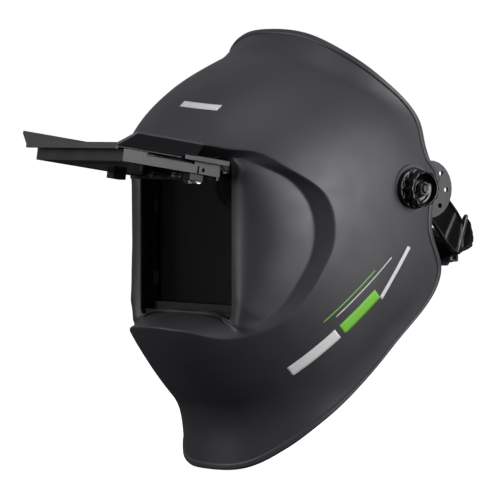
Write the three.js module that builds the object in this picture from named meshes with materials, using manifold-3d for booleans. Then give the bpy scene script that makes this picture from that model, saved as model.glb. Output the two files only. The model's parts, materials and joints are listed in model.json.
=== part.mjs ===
// Welding helmet with a flip-up auto-darkening filter, on an adjustable headgear.
// Millimetres, +Z up. The wearer looks along -Y and the wearer's left is +X.
// The origin is the middle of the line through the two tilt pivots at the temples.
import * as THREE from "three";
import { mergeVertices } from "three/addons/utils/BufferGeometryUtils.js";
import { ConvexGeometry } from "three/addons/geometries/ConvexGeometry.js";
import Module from "manifold-3d";

const wasm = await Module();
wasm.setup();

// ---------------------------------------------------------------- driving dimensions
const GAP = 0.3; // left between pieces that touch

// Shell: a dome given by its side-view radius and its half-width about a centre on the mid-plane.
const DOME_Y = -20;
const DOME_Z = -20;
const DOME_POWER = 2.3; // 2 would be an ellipsoid, more is boxier
const PITCH = [-180, -130, -95, -75, -60, -45, -30, -15, 0, 15, 30, 45, 60, 75, 95, 130, 180];
const RADIUS = [
  160, 180, 190, 203, 189.5, 180.5, 176.7, 172.3, 167, 161.3, 154.6, 146.2, 140, 139, 141, 143, 160];
const WIDTH_PITCH = [-180, -120, -70, -35, 0, 60, 120, 180];
const HALF_WIDTH = [116, 116, 112, 116, 118, 118, 116, 116];
const WALL = 2.4;
const BEAD = 1.2; // how far the rim bead stands out
const BEAD_WIDTH = 4;

// Outlines round the face opening. Clock angle -90 is the chin, 0 the side and 90 the crown.
const RIM = {
  clock: [-90, -75, -62, -50, -40, -30, -14, -3, 3, 11, 15, 19, 30, 45, 60, 75, 90],
  reach: [66.8, 69, 72.7, 78, 84.5, 92.5, 105, 101.2, 102.8, 107.3, 104.8, 104, 103, 92, 83, 79, 76.5],
  flare: [29, 26, 17, 9, 4, 2, 0.5, 0, 0, 0, 0.2, 0.5, 2.5, 6.5, 10, 11, 11.5],
};
const FLARE_SPAN = { clock: [-90, -60, -30, 0, 30, 60, 90], reach: [13, 12, 8, 5, 8, 11, 12] };
const BROW = {
  clock: [-90, -75, -60, -45, -30, -15, -5, 5, 15, 24, 30, 39, 51, 70, 90],
  reach: [30.1, 31.5, 36.3, 48, 61, 70, 73.8, 69.8, 57, 47.3, 39.1, 32.2, 26.6, 21.6, 20.3],
};
const FLOOR = {
  clock: [-90, -72, -60, -52, -45, -38.7, -32.6, -25.5, -17.6, -10.3, -3.7, 4.1, 11.7, 18.8, 28.1, 50, 90],
  x: [0, 27, 45, 55, 62.5, 71.9, 80.3, 87.8, 94, 98.5, 100.2, 98, 91.4, 81, 64, 38, 0],
  y: [
    -139, -139, -139, -139.2, -139.3, -137.4, -125.3, -111.6, -100.4, -90.8, -88.3, -93.7, -108.2, -128.9,
    -139.5, -139, -139],
  z: [
    -98.2, -98.6, -101.4, -104.2, -107, -107, -101.7, -90.3, -72.5, -52.2, -31.7, -8.7, 9.1, 19.4,
    25, 25, 25],
};

// Window opening in the shell
const WINDOW_HALF = 60;
const WINDOW_TOP = 24;
const WINDOW_BOTTOM = -97;
const WINDOW_Y = -138.5;
const WINDOW_CORNER = 24; // power of the rounded rectangle
const SILL_DROP = 6.5; // how far the bottom edge falls towards its corners
const SILL_FLAT = 20; // half the level middle of the bottom edge
const SILL_FADE = 40; // height over which the drop dies away up the sides
const WINDOW_CLOCK = { clock: [-90, -45, -8, 28.1, 90], turn: [-90, -45, 0, 45, 90] };

// Flip-up visor: built level, forward along -Y from its hinge, then tipped up
const HINGE_Y = -141;
const HINGE_Z = 17;
const VISOR_TIP = 8.3; // degrees above level when open
const VISOR_REACH = 110;
const PLATE_LOW = 1.4;
const PLATE_HIGH = 4;

// Clamp at the temple, positions along X
const PIVOT_BORE = 3.5;
const BOLT_R = 3;
const PLATE_IN = 98.5; // side plate, inner face
const PLATE_OUT = 101;
const BOSS_IN = 110.5;
const BOSS_OUT = 114.3;
const KNOB_IN = 115.7;
const KNOB_OUT = 130.5;
const BOLT_END = 131.4;
const EAR_R = 15; // side plate: round front end on the pivot
const DISC_R = 23; // and its larger round rear end, with the three tilt-stop holes
const DISC_Y = 30;
const DISC_Z = -1;
const STOP_HOLE_R = 2.1;
const STOP_RADIUS = 17;
const STOP_STEP = 49.5; // degrees between the holes
const STOP_TURN = -2.5; // degrees that the row of holes is turned downwards
const STRAP_HUB_R = 7.5;
const STRAP_STUB_R = 4;

// ---------------------------------------------------------------- materials
const plastic = (color, roughness) => new THREE.MeshStandardMaterial({ color, roughness, metalness: 0 });
const metal = (color, roughness) => new THREE.MeshStandardMaterial({ color, roughness, metalness: 1 });
const SHELL = plastic(0x2b2b2d, 0.55);
const SATIN = plastic(0x3a3a3c, 0.45);
const BLACK = plastic(0x101011, 0.5);
const GLOSS = plastic(0x0b0b0c, 0.2);
const STEEL = metal(0xb4b4b6, 0.3);
const GLASS = new THREE.MeshStandardMaterial(
  { color: 0x30363a, roughness: 0.05, transparent: true, opacity: 0.35 });
const DARK_GLASS = plastic(0x141a18, 0.08);
const RUBBER = plastic(0x161616, 0.8);
const FABRIC = plastic(0x1d1d1f, 0.95);
const GREEN = plastic(0x2f6b3a, 0.6);

// ---------------------------------------------------------------- helpers
const RAD = Math.PI / 180;
const helmet = new THREE.Group();
const visor = new THREE.Group();
visor.position.set(0, HINGE_Y, HINGE_Z);
visor.rotation.x = -VISOR_TIP * RAD;
helmet.add(visor);

function addMesh(name, geometry, material, parent = helmet) {
  const mesh = new THREE.Mesh(geometry, material);
  mesh.name = name;
  parent.add(mesh);
  return mesh;
}

function solid(geometry) {
  const bare = geometry.index ? geometry.toNonIndexed() : geometry.clone();
  bare.deleteAttribute("normal");
  bare.deleteAttribute("uv");
  const merged = mergeVertices(bare, 1e-4);
  const triVerts = new Uint32Array(merged.index.array);
  return new wasm.Manifold(
    new wasm.Mesh({ numProp: 3, vertProperties: merged.attributes.position.array, triVerts }),
  );
}

function geometryOf(manifold) {
  const mesh = manifold.getMesh();
  const count = mesh.vertProperties.length / mesh.numProp;
  const position = new Float32Array(count * 3);
  for (let i = 0; i < count; i++) {
    position.set(mesh.vertProperties.subarray(i * mesh.numProp, i * mesh.numProp + 3), i * 3);
  }
  const geometry = new THREE.BufferGeometry();
  geometry.setAttribute("position", new THREE.BufferAttribute(position, 3));
  geometry.setIndex(new THREE.BufferAttribute(new Uint32Array(mesh.triVerts), 1));
  return geometry;
}

const join = (first, ...rest) => geometryOf(rest.reduce((sum, g) => sum.add(solid(g)), solid(first)));
const cut = (first, ...rest) => geometryOf(rest.reduce((left, g) => left.subtract(solid(g)), solid(first)));

function box(x0, x1, y0, y1, z0, z1) {
  const size = new THREE.BoxGeometry(x1 - x0, y1 - y0, z1 - z0);
  return size.translate((x0 + x1) / 2, (y0 + y1) / 2, (z0 + z1) / 2);
}

// Round bar along X.
function barX(radius, x0, x1, y = 0, z = 0, sides = 24) {
  const bar = new THREE.CylinderGeometry(radius, radius, Math.abs(x1 - x0), sides);
  return bar.rotateZ(Math.PI / 2).translate((x0 + x1) / 2, y, z);
}

function barZ(radius, z0, z1, x, y, sides = 20) {
  const bar = new THREE.CylinderGeometry(radius, radius, z1 - z0, sides);
  return bar.rotateX(Math.PI / 2).translate(x, y, (z0 + z1) / 2);
}

function barY(radius, y0, y1, x, z, sides = 24) {
  return new THREE.CylinderGeometry(radius, radius, y1 - y0, sides).translate(x, (y0 + y1) / 2, z);
}

// Extrudes a shape drawn in Y and Z along X.
function slabX(shape, x0, x1, curveSegments = 10) {
  const slab = new THREE.ExtrudeGeometry(shape, { depth: x1 - x0, bevelEnabled: false, curveSegments });
  const turn = new THREE.Matrix4().makeBasis(
    new THREE.Vector3(0, 1, 0), new THREE.Vector3(0, 0, 1), new THREE.Vector3(1, 0, 0));
  return slab.applyMatrix4(turn).translate(x0, 0, 0);
}

// Turns a closed profile of [radius, x] points about the X axis, with an optional wavy radius.
function turnedX(profile, sides, wave = () => 1) {
  const position = [];
  const index = [];
  const rows = profile.length;
  for (let i = 0; i < sides; i++) {
    const angle = (i / sides) * 2 * Math.PI;
    for (const [radius, x] of profile) {
      const r = radius * wave(angle, radius, x);
      position.push(x, r * Math.cos(angle), r * Math.sin(angle));
    }
  }
  for (let i = 0; i < sides; i++) {
    const here = i * rows;
    const next = ((i + 1) % sides) * rows;
    for (let j = 0; j < rows; j++) {
      const k = (j + 1) % rows;
      index.push(here + j, next + j, next + k, here + j, next + k, here + k);
    }
  }
  const geometry = new THREE.BufferGeometry();
  geometry.setAttribute("position", new THREE.Float32BufferAttribute(position, 3));
  geometry.setIndex(index);
  return geometry;
}

function mirrored(geometry) {
  const copy = (geometry.index ? geometry.toNonIndexed() : geometry.clone()).scale(-1, 1, 1);
  const p = copy.attributes.position;
  for (let i = 0; i < p.count; i += 3) {
    const b = [p.getX(i + 1), p.getY(i + 1), p.getZ(i + 1)];
    p.setXYZ(i + 1, p.getX(i + 2), p.getY(i + 2), p.getZ(i + 2));
    p.setXYZ(i + 2, ...b);
  }
  return copy;
}

function addPair(name, geometry, material, parent = helmet) {
  addMesh(name + "_left", geometry, material, parent);
  addMesh(name + "_right", mirrored(geometry), material, parent);
}

// Smooth curve through knots, held flat outside them. Level ends suit a curve that mirrors there.
function smooth(xs, ys, x, levelEnds = false) {
  const last = xs.length - 1;
  const at = Math.min(Math.max(x, xs[0]), xs[last]);
  let i = 0;
  while (i < last - 1 && at > xs[i + 1]) i++;
  const slope = (k) => (ys[k + 1] - ys[k]) / (xs[k + 1] - xs[k]);
  const tangent = (k) => {
    if (levelEnds && (k === 0 || k === last)) return 0;
    if (k === 0) return slope(0);
    if (k === last) return slope(last - 1);
    const before = xs[k] - xs[k - 1];
    const after = xs[k + 1] - xs[k];
    return (slope(k - 1) * after + slope(k) * before) / (before + after);
  };
  const h = xs[i + 1] - xs[i];
  const t = (at - xs[i]) / h;
  const s = 1 - t;
  return (
    (1 + 2 * t) * s * s * ys[i] + t * s * s * h * tangent(i) +
    t * t * (3 - 2 * t) * ys[i + 1] - t * t * s * h * tangent(i + 1)
  );
}

// ---------------------------------------------------------------- shell surface
// Point of the plain dome at a clock angle and an angle of reach from straight ahead.
function dome(clock, reach) {
  const ex = Math.sin(reach * RAD) * Math.cos(clock * RAD);
  const ahead = Math.cos(reach * RAD);
  const up = Math.sin(reach * RAD) * Math.sin(clock * RAD);
  const pitch = Math.atan2(up, ahead) / RAD;
  const side = Math.hypot(up, ahead);
  const base = HALF_WIDTH[HALF_WIDTH.length - 1];
  const width = base + (smooth(WIDTH_PITCH, HALF_WIDTH, pitch) - base) * side * side;
  const r = smooth(PITCH, RADIUS, pitch) * Math.pow(side, 2 / DOME_POWER);
  return new THREE.Vector3(
    width * Math.sign(ex) * Math.pow(Math.abs(ex), 2 / DOME_POWER),
    DOME_Y - r * Math.cos(pitch * RAD),
    DOME_Z + r * Math.sin(pitch * RAD),
  );
}

function domeNormal(clock, reach) {
  const d = 0.5;
  const along = dome(clock, reach + d).sub(dome(clock, reach - d));
  const around = dome(clock + d, reach).sub(dome(clock - d, reach));
  return around.cross(along).normalize().negate();
}

function windowEdge(clock) {
  const turn = smooth(WINDOW_CLOCK.clock, WINDOW_CLOCK.turn, clock) * RAD;
  const c = Math.cos(turn);
  const s = Math.sin(turn);
  const k = Math.pow(Math.abs(c) ** WINDOW_CORNER + Math.abs(s) ** WINDOW_CORNER, -1 / WINDOW_CORNER);
  const middle = (WINDOW_TOP + WINDOW_BOTTOM) / 2;
  const half = (WINDOW_TOP - WINDOW_BOTTOM) / 2;
  const x = WINDOW_HALF * k * c;
  const z = middle + half * k * s;
  const out = Math.max(0, Math.abs(x) - SILL_FLAT) / (WINDOW_HALF - SILL_FLAT);
  const low = Math.min(1, Math.max(0, (WINDOW_BOTTOM + SILL_FADE - z) / SILL_FADE));
  return new THREE.Vector3(x, WINDOW_Y, z - SILL_DROP * out * out * low);
}

const floorEdge = (clock) => new THREE.Vector3(
  smooth(FLOOR.clock, FLOOR.x, clock),
  smooth(FLOOR.clock, FLOOR.y, clock, true),
  smooth(FLOOR.clock, FLOOR.z, clock, true));

// The outside of the shell at one clock angle, from the window edge to the rim.
function shellProfile(clock, steps) {
  const points = [];
  const start = windowEdge(clock);
  const floor = floorEdge(clock);
  const reachOut = smooth(BROW.clock, BROW.reach, clock, true);
  const brow = dome(clock, reachOut);
  const flat = floor.clone().sub(start).setY(0);
  const span = flat.length();
  const leave = start.clone().add(flat.clone().normalize().multiplyScalar(0.62 * span));
  leave.y -= 0.07 * span;
  const back = dome(clock, reachOut).sub(dome(clock, reachOut - 2)).normalize();
  const arrive = floor.clone().addScaledVector(back, -0.55 * span);
  arrive.y = Math.max(arrive.y, WINDOW_Y - 2);
  const flank = new THREE.CubicBezierCurve3(start, leave, arrive, floor);
  for (let i = 0; i <= steps.flank; i++) points.push(flank.getPoint(i / steps.flank));
  const wall = brow.clone().sub(floor);
  for (let i = 1; i < steps.band; i++) points.push(floor.clone().addScaledVector(wall, i / steps.band));
  const crest = Math.min(3, wall.length() / 3);
  points.push(brow.clone().addScaledVector(wall.clone().normalize(), -crest));
  const edge = smooth(RIM.clock, RIM.reach, clock, true);
  const flare = smooth(RIM.clock, RIM.flare, clock, true);
  const flareStart = edge - smooth(FLARE_SPAN.clock, FLARE_SPAN.reach, clock, true);
  const crestReach = reachOut + 1.3;
  const shoulder = brow.clone().lerp(dome(clock, crestReach), 0.3);
  points.push(shoulder.addScaledVector(domeNormal(clock, reachOut), -0.6));
  for (let i = 0; i <= steps.dome; i++) {
    points.push(dome(clock, crestReach + ((flareStart - crestReach) * i) / steps.dome));
  }
  const lift = (t) => dome(clock, flareStart + (edge - flareStart) * t)
    .addScaledVector(domeNormal(clock, flareStart + (edge - flareStart) * t), flare * Math.pow(t, 1.8));
  const rimLength = lift(1).distanceTo(lift(0.75)) / 0.25;
  const beadAt = 1 - BEAD_WIDTH / rimLength;
  for (let i = 1; i <= steps.flare; i++) points.push(lift((beadAt * i) / steps.flare));
  return { points, bead: [lift(beadAt + 0.3 * (1 - beadAt)), lift(1)] };
}

// Closed shell: outer skin, rim edge, inner skin and window edge.
function shellGeometry() {
  const around = 64;
  const steps = { flank: 4, band: 2, dome: 7, flare: 3 };
  const rows = [];
  for (let i = 0; i < around; i++) {
    const clock = -90 + (360 * i) / around;
    const mirror = clock > 90;
    const { points, bead } = shellProfile(mirror ? 180 - clock : clock, steps);
    const row = [...points, ...bead];
    if (mirror) row.forEach((p) => p.setX(-p.x));
    rows.push(row);
  }
  const count = rows[0].length;
  const at = (i, j) => rows[(i + around) % around][Math.min(Math.max(j, 0), count - 1)];
  const normalAt = (i, j) => {
    const along = at(i, j + 1).clone().sub(at(i, j - 1));
    const round = at(i + 1, j).clone().sub(at(i - 1, j));
    return along.cross(round).normalize();
  };
  const outer = rows.map((row, i) => row.map((p, j) => {
    const beaded = j >= count - 2;
    return beaded ? p.clone().addScaledVector(normalAt(i, j), BEAD) : p.clone();
  }));
  const inner = rows.map((row, i) => row.map((p, j) => p.clone().addScaledVector(normalAt(i, j), -WALL)));
  return skinned(outer, inner);
}

// Joins two grids of points, each closed round the first index, into one closed body.
function skinned(outer, inner) {
  const around = outer.length;
  const count = outer[0].length;
  const position = [];
  for (const grid of [outer, inner]) {
    for (const row of grid) row.forEach((p) => position.push(p.x, p.y, p.z));
  }
  const index = [];
  const id = (skin, i, j) => skin * around * count + (i % around) * count + j;
  const quad = (a, b, c, d) => index.push(a, b, c, a, c, d);
  for (let i = 0; i < around; i++) {
    for (let j = 0; j < count - 1; j++) {
      quad(id(0, i, j), id(0, i, j + 1), id(0, i + 1, j + 1), id(0, i + 1, j));
      quad(id(1, i, j), id(1, i + 1, j), id(1, i + 1, j + 1), id(1, i, j + 1));
    }
    quad(id(0, i, 0), id(0, i + 1, 0), id(1, i + 1, 0), id(1, i, 0));
    const j = count - 1;
    quad(id(0, i, j), id(1, i, j), id(1, i + 1, j), id(0, i + 1, j));
  }
  const geometry = new THREE.BufferGeometry();
  geometry.setAttribute("position", new THREE.Float32BufferAttribute(position, 3));
  geometry.setIndex(index);
  return geometry;
}

function shellPiece() {
  let body = solid(shellGeometry());
  if (body.volume() < 0) throw new Error("shell is inside out");
  for (const side of [-1, 1]) {
    body = body.add(solid(barX(19, side * BOSS_IN, side * BOSS_OUT, 0, 0, 32)));
    body = body.subtract(solid(barX(18.4, side * BOSS_OUT, side * 125, 0, 0, 32)));
    body = body.subtract(solid(barX(PIVOT_BORE, side * 100, side * 125, 0, 0, 16)));
  }
  return geometryOf(body);
}
addMesh("helmet_shell", shellPiece(), SHELL);

// ---------------------------------------------------------------- window frame and grinding lens
// A front opening, a narrower throat and a rebate at the back for the lens.
const FRAME_HALF = 64.2;
const FRAME_FRONT = -134.9;
const FRAME_BACK = -117.5;
const FRAME_LOW = -107;
const FRAME_HIGH = 29.5;
const THROAT_HALF = 59.8;
const REBATE_HALF = 62;
const REBATE_Y = -121.2;
const LENS_HALF = 61.6;
const LENS_LOW = -94.1;
const LENS_HIGH = 24.6;
const LENS_Y = -120.9;
const LENS_THICK = 2;
const SEAL_THICK = 1;

function windowFrame() {
  return cut(
    box(-FRAME_HALF, FRAME_HALF, FRAME_FRONT, FRAME_BACK, FRAME_LOW, FRAME_HIGH),
    box(-61.2, 61.2, FRAME_FRONT - 1, -126.5, -97.5, LENS_HIGH),
    box(-THROAT_HALF, THROAT_HALF, -128, -120, -91.5, 22),
    box(-REBATE_HALF, REBATE_HALF, REBATE_Y, FRAME_BACK + 1, LENS_LOW - 0.4, LENS_HIGH + 0.4),
  );
}
addMesh("window_frame", windowFrame(), BLACK);
addMesh("grinding_lens", box(-LENS_HALF, LENS_HALF, LENS_Y, LENS_Y + LENS_THICK, LENS_LOW, LENS_HIGH), GLASS);

function lensSeal() {
  const front = LENS_Y + LENS_THICK + GAP;
  return cut(
    box(-LENS_HALF, LENS_HALF, front, front + SEAL_THICK, LENS_LOW, LENS_HIGH),
    box(-THROAT_HALF + 0.4, THROAT_HALF - 0.4, front - 1, front + 2, LENS_LOW + 3.1, LENS_HIGH - 3.1));
}
addMesh("lens_seal", lensSeal(), RUBBER);

const CLIP_HEIGHTS = [["upper", -15], ["lower", -73]];
for (const [place, z] of CLIP_HEIGHTS) {
  const clip = join(
    box(57.9, 59.5, -126, -121.6, z - 5, z + 5),
    box(56.6, 58.2, -126, -123.4, z + 1.4, z + 4.4),
    box(56.6, 58.2, -126, -123.4, z - 4.4, z - 1.4),
  );
  addPair("lens_clip_" + place, clip, SATIN);
}

// ---------------------------------------------------------------- visor hinge on the shell
const PIN_R = 2;
const PIN_BORE = 2.3;

function hingeBlock() {
  const ear = barX(4.6, 46.3, 55.7, HINGE_Y, HINGE_Z);
  const stalk = box(46.3, 55.7, HINGE_Y - 4, HINGE_Y + 2.2, HINGE_Z, 22.5);
  return cut(join(ear, stalk), barX(PIN_BORE, 40, 60, HINGE_Y, HINGE_Z, 16));
}
addPair("hinge_block", hingeBlock(), BLACK);
addPair("hinge_bracket", join(
  box(56, 57.3, HINGE_Y + 1.6, HINGE_Y + 4.2, 12.4, 21.8),
  box(56, 57.3, HINGE_Y - 3.4, HINGE_Y + 1.7, 12.4, 13.8)), STEEL);
addMesh("hinge_pin", barX(PIN_R, -55.6, 55.6, HINGE_Y, HINGE_Z, 16), STEEL);

// ---------------------------------------------------------------- flip-up visor, in its own level frame
function lip() {
  const corners = [];
  for (const [x, z, start, end] of [[59.4, 1.5, 34, 109.9], [59.4, 3.9, 34, 109.9],
    [77, 12.2, 40, 103], [76.1, 14, 40, 103]]) {
    corners.push(new THREE.Vector3(x, -start, z), new THREE.Vector3(x, -end, z));
  }
  return new ConvexGeometry(corners);
}

function visorCover() {
  let cover = join(
    box(-60, 60, -VISOR_REACH, -2.4, PLATE_LOW, PLATE_HIGH),
    box(-57, 57, -3, 2, PLATE_LOW, PLATE_HIGH),
    box(-60, 60, -VISOR_REACH, -107.6, -0.2, 4.6),
    box(59.5, 63.4, -46, -2.4, 0.8, 4.4),
    box(-63.4, -59.5, -46, -2.4, 0.8, 4.4),
    lip(),
    mirrored(lip()),
    barX(4.2, 30, 44.5),
    barX(4.2, -44.5, -30),
    box(30, 44.5, -6, 0, PLATE_LOW, 4.2),
    box(-44.5, -30, -6, 0, PLATE_LOW, 4.2),
  );
  cover = cut(cover,
    box(-50, 50, -97, -24, 0, 5),
    box(45, 58, -9, 4, -1, 5),
    box(-58, -45, -9, 4, -1, 5),
    barX(PIN_BORE, -46, 46, 0, 0, 16));
  return cover;
}
addMesh("visor_cover", visorCover(), SHELL, visor);

function cartridgeTray() {
  const walls = join(
    cut(box(-57.7, 57.7, -100.4, -6.4, -8.6, 1.1), box(-55.5, 55.5, -98.2, -8.6, -10, 2)),
    box(-56.6, 56.6, -8.7, -6.4, -11.1, 0),
    box(52.6, 56, -98.4, -8.5, -8.6, -7.9),
    box(-56, -52.6, -98.4, -8.5, -8.6, -7.9),
    box(57, 59, -28, -19.5, -8.6, -2.6),
    box(-59, -57, -28, -19.5, -8.6, -2.6),
  );
  return cut(walls,
    box(54, 60, -78, -32, -1.8, 2),
    box(-60, -54, -78, -32, -1.8, 2),
    barX(1.6, 50, 62, -23.8, -5.4, 12),
    barX(1.6, -62, -50, -23.8, -5.4, 12));
}
addMesh("cartridge_tray", cartridgeTray(), SATIN, visor);

const COVER_LENS_FACE = 2.4; // the lens edge is rebated, so its middle stands into the cover's window
const FILTER_LOW = -7.6;
const FILTER_HIGH = -0.8;
function filterHousing() {
  return cut(
    box(-55.1, 55.1, -97.8, -9, FILTER_LOW, FILTER_HIGH),
    box(-49, 49, -80, -26, -9, 1),
    box(-40, 40, -24, -11, -9, -2.2),
    box(-33, 33, -96, -83.5, -1.6, 1),
    barZ(6.3, -9, -3.4, 40, -89),
    barZ(6.3, -9, -3.4, -40, -89),
    barZ(2.9, -2.3, 1, 42, -90, 12),
    barZ(2.9, -2.3, 1, -42, -90, 12),
  );
}
addMesh("filter_housing", filterHousing(), BLACK, visor);
addMesh("dark_filter", box(-48.7, 48.7, -79.7, -26.3, -6, -2.4), DARK_GLASS, visor);
addMesh("solar_cell", box(-32.6, 32.6, -95.6, -83.9, -1.3, -0.8), DARK_GLASS, visor);
addPair("arc_sensor", barZ(2.6, -2, -0.7, 42, -90, 12), DARK_GLASS, visor);
addMesh("circuit_board", box(-39, 39, -23.5, -11.5, -4.6, -3), GREEN, visor);
addPair("battery", barZ(6, -6.9, -3.7, 40, -89), STEEL, visor);
addMesh("electronics_cover", box(-42, 42, -24.6, -10.2, -8.7, -7.9), SATIN, visor);
addMesh("battery_cover", box(-48, 48, -96.5, -82, -8.7, -7.9), SATIN, visor);
addMesh("front_cover_lens", join(
  box(-54, 54, -97.8, -9, -0.45, 1.05), box(-49.7, 49.7, -96.7, -24.3, 1, COVER_LENS_FACE)), GLASS, visor);
addMesh("inner_cover_lens", box(-52.2, 52.2, -81.6, -25, -8.9, -7.9), GLASS, visor);
addMesh("shade_dial", cut(
  barZ(5.5, -11, -9, 18, -17, 18), box(17.4, 18.6, -23, -17, -12, -10.4)), SATIN, visor);
addMesh("mode_slider", join(
  box(-18, -12, -19, -15, -10, -9), box(-16.6, -13.4, -18.4, -15.6, -11, -9.9)), SATIN, visor);
addPair("catch_block", cut(
  box(46, 55, -33, -20.5, -13.8, -8.9), box(48.5, 52.5, -30, -24, -15, -11)), BLACK, visor);

function detentSpring() {
  const turns = 6;
  const points = [];
  const stepsPerTurn = 10;
  for (let i = 0; i <= turns * stepsPerTurn; i++) {
    const t = i / stepsPerTurn;
    points.push(new THREE.Vector3(
      25 + 3 * t, -14.5 + 2.3 * Math.cos(2 * Math.PI * t), -12.4 + 2.3 * Math.sin(2 * Math.PI * t)));
  }
  const section = new THREE.Shape();
  section.absarc(0, 0, 0.5, 0, 2 * Math.PI);
  return new THREE.ExtrudeGeometry(section, {
    steps: turns * stepsPerTurn, curveSegments: 3, bevelEnabled: false,
    extrudePath: new THREE.CatmullRomCurve3(points),
  });
}
addMesh("detent_spring", detentSpring(), STEEL, visor);

// ---------------------------------------------------------------- clamp knobs and pivots
const ring = (rIn, rOut, x0, x1, sides = 24) =>
  turnedX([[rOut, x0], [rOut, x1], [rIn, x1], [rIn, x0]], sides);

const FLANGE_R = 16;
const CROWN_R = 13.7;
const CUP_R = 11.7;
const CUP_FLOOR = 120.6;

function clampKnob() {
  const profile = [[FLANGE_R, KNOB_IN], [FLANGE_R, 119.2], [CROWN_R, 120], [CROWN_R, 130.1],
    [CROWN_R - 0.6, KNOB_OUT], [CUP_R + 0.2, KNOB_OUT], [CUP_R, 130], [CUP_R, CUP_FLOOR], [3.4, CUP_FLOOR],
    [3.4, KNOB_IN]];
  const lobes = 12;
  const lobed = (radius) => radius > CUP_R + 0.5 && radius < FLANGE_R - 0.5;
  const wave = (angle, radius) => (lobed(radius) ? 1 + 0.035 * Math.cos(lobes * angle) : 1);
  return turnedX(profile, lobes * 4, wave);
}
addPair("clamp_knob", clampKnob(), GLOSS);
addPair("spring_collar", turnedX(
  [[7, 121.3], [7, 123], [5.6, 123.4], [5.6, 126], [3.4, 126], [3.4, 121.3]], 20), SATIN);
addPair("pivot_nut", cut(barX(5.77, 126.3, 130.3, 0, 0, 6), barX(3.3, 125, 132, 0, 0, 16)), SATIN);
addPair("pivot_bolt", join(
  barX(8, PLATE_IN - 3.4, PLATE_IN - GAP, 0, 0, 24), barX(BOLT_R, PLATE_IN - 1, BOLT_END, 0, 0, 16)), STEEL);
addPair("pivot_spacer", ring(3.4, 9, PLATE_OUT + GAP, BOSS_IN - GAP), BLACK);
addPair("friction_washer", ring(3.4, 13.5, BOSS_OUT + GAP, KNOB_IN - GAP), RUBBER);

// Side plate: a small round end on the pivot and a large round end behind it.
function sidePlate() {
  const lean = Math.acos(-(DISC_R - EAR_R) / DISC_Y);
  const outline = new THREE.Shape();
  outline.absarc(DISC_Y, DISC_Z, DISC_R, -lean, lean);
  outline.absarc(0, 0, EAR_R, lean, 2 * Math.PI - lean);
  const hole = (y, z, r) => {
    const path = new THREE.Path();
    path.absarc(y, z, r, 0, 2 * Math.PI, true);
    outline.holes.push(path);
  };
  hole(0, 0, BOLT_R + GAP);
  hole(DISC_Y, DISC_Z, STRAP_STUB_R + GAP);
  for (const k of [-1, 0, 1]) {
    const angle = (STOP_TURN + k * STOP_STEP) * RAD;
    hole(DISC_Y + STOP_RADIUS * Math.cos(angle), DISC_Z + STOP_RADIUS * Math.sin(angle), STOP_HOLE_R);
  }
  return slabX(outline, PLATE_IN, PLATE_OUT, 8);
}
addPair("side_plate", sidePlate(), SATIN);

// ---------------------------------------------------------------- straps, bands and pads
// A strip with a rectangular section: stations of { at, up, width }, its thickness, and how far
// its middle is moved along the outward normal (up crossed with the direction of travel).
function strip(stations, thickness, offset = 0) {
  const position = [];
  const index = [];
  const last = stations.length - 1;
  stations.forEach(({ at, up, width }, i) => {
    const before = stations[Math.max(i - 1, 0)].at;
    const after = stations[Math.min(i + 1, last)].at;
    const travel = after.clone().sub(before).normalize();
    const across = up.clone().addScaledVector(travel, -up.dot(travel)).normalize();
    const normal = across.clone().cross(travel);
    for (const [u, n] of [[1, -1], [1, 1], [-1, 1], [-1, -1]]) {
      const p = at.clone().addScaledVector(across, (u * width) / 2);
      p.addScaledVector(normal, offset + (n * thickness) / 2);
      position.push(p.x, p.y, p.z);
    }
  });
  for (let i = 0; i < last; i++) {
    for (let k = 0; k < 4; k++) {
      const a = 4 * i + k;
      const b = 4 * i + ((k + 1) % 4);
      index.push(a, b + 4, b, a, a + 4, b + 4);
    }
  }
  const e = 4 * last;
  index.push(0, 1, 2, 0, 2, 3, e, e + 2, e + 1, e, e + 3, e + 2);
  const geometry = new THREE.BufferGeometry();
  geometry.setAttribute("position", new THREE.Float32BufferAttribute(position, 3));
  geometry.setIndex(index);
  return geometry;
}
const vec = (x, y, z) => new THREE.Vector3(x, y, z);

const BAND_HALF = 83.5;
const BAND_FRONT = 89;
function bandStations(from, to, count, width) {
  const stations = [];
  for (let i = 0; i <= count; i++) {
    const a = (from + ((to - from) * i) / count) * RAD;
    const z = 20 + (26 * (Math.cos(a) + 0.25)) / 1.25;
    const at = vec(BAND_HALF * Math.sin(a), 2 - BAND_FRONT * Math.cos(a), z);
    stations.push({ at, up: vec(0, 0.25, 1), width });
  }
  return stations;
}

function headBand() {
  const block = box(83.4, PLATE_IN - GAP, 12, 26, 8, 19);
  return join(strip(bandStations(-104, 104, 26, 26), 2.2), block, mirrored(block));
}
addMesh("head_band", headBand(), BLACK);
addMesh("sweat_pad", strip(bandStations(-62, 62, 16, 32), 6, 4.6), FABRIC);

function crownStrap(rise) {
  const stations = [];
  for (let i = 0; i <= 12; i++) {
    const b = (i / 12) * 99 * RAD;
    stations.push({ at: vec(81 * Math.cos(b), 4, 30 + rise * Math.sin(b)), up: vec(0, -1, 0), width: 18 });
  }
  return strip(stations, 1.6);
}
addMesh("crown_strap_left", crownStrap(78), BLACK);
addMesh("crown_strap_right", mirrored(crownStrap(80.2)), BLACK);
addMesh("crown_button", barZ(5, 111.4, 114, 0, 4), SATIN);

// Middle line of the neck strap, how far its upward edge leans back, and its width there.
const NECK_STRAP = [
  [95.4, 30, -4, 0.62, 12], [95.5, 38.5, -11.5, 0.62, 25], [95.2, 46.8, -20.5, 0.6, 26],
  [92.7, 57, -29.5, 0.5, 27], [88.2, 66.3, -36, 0.42, 27], [83, 75, -40.5, 0.38, 27],
];
const STRAP_THICK = 2.2;

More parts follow.
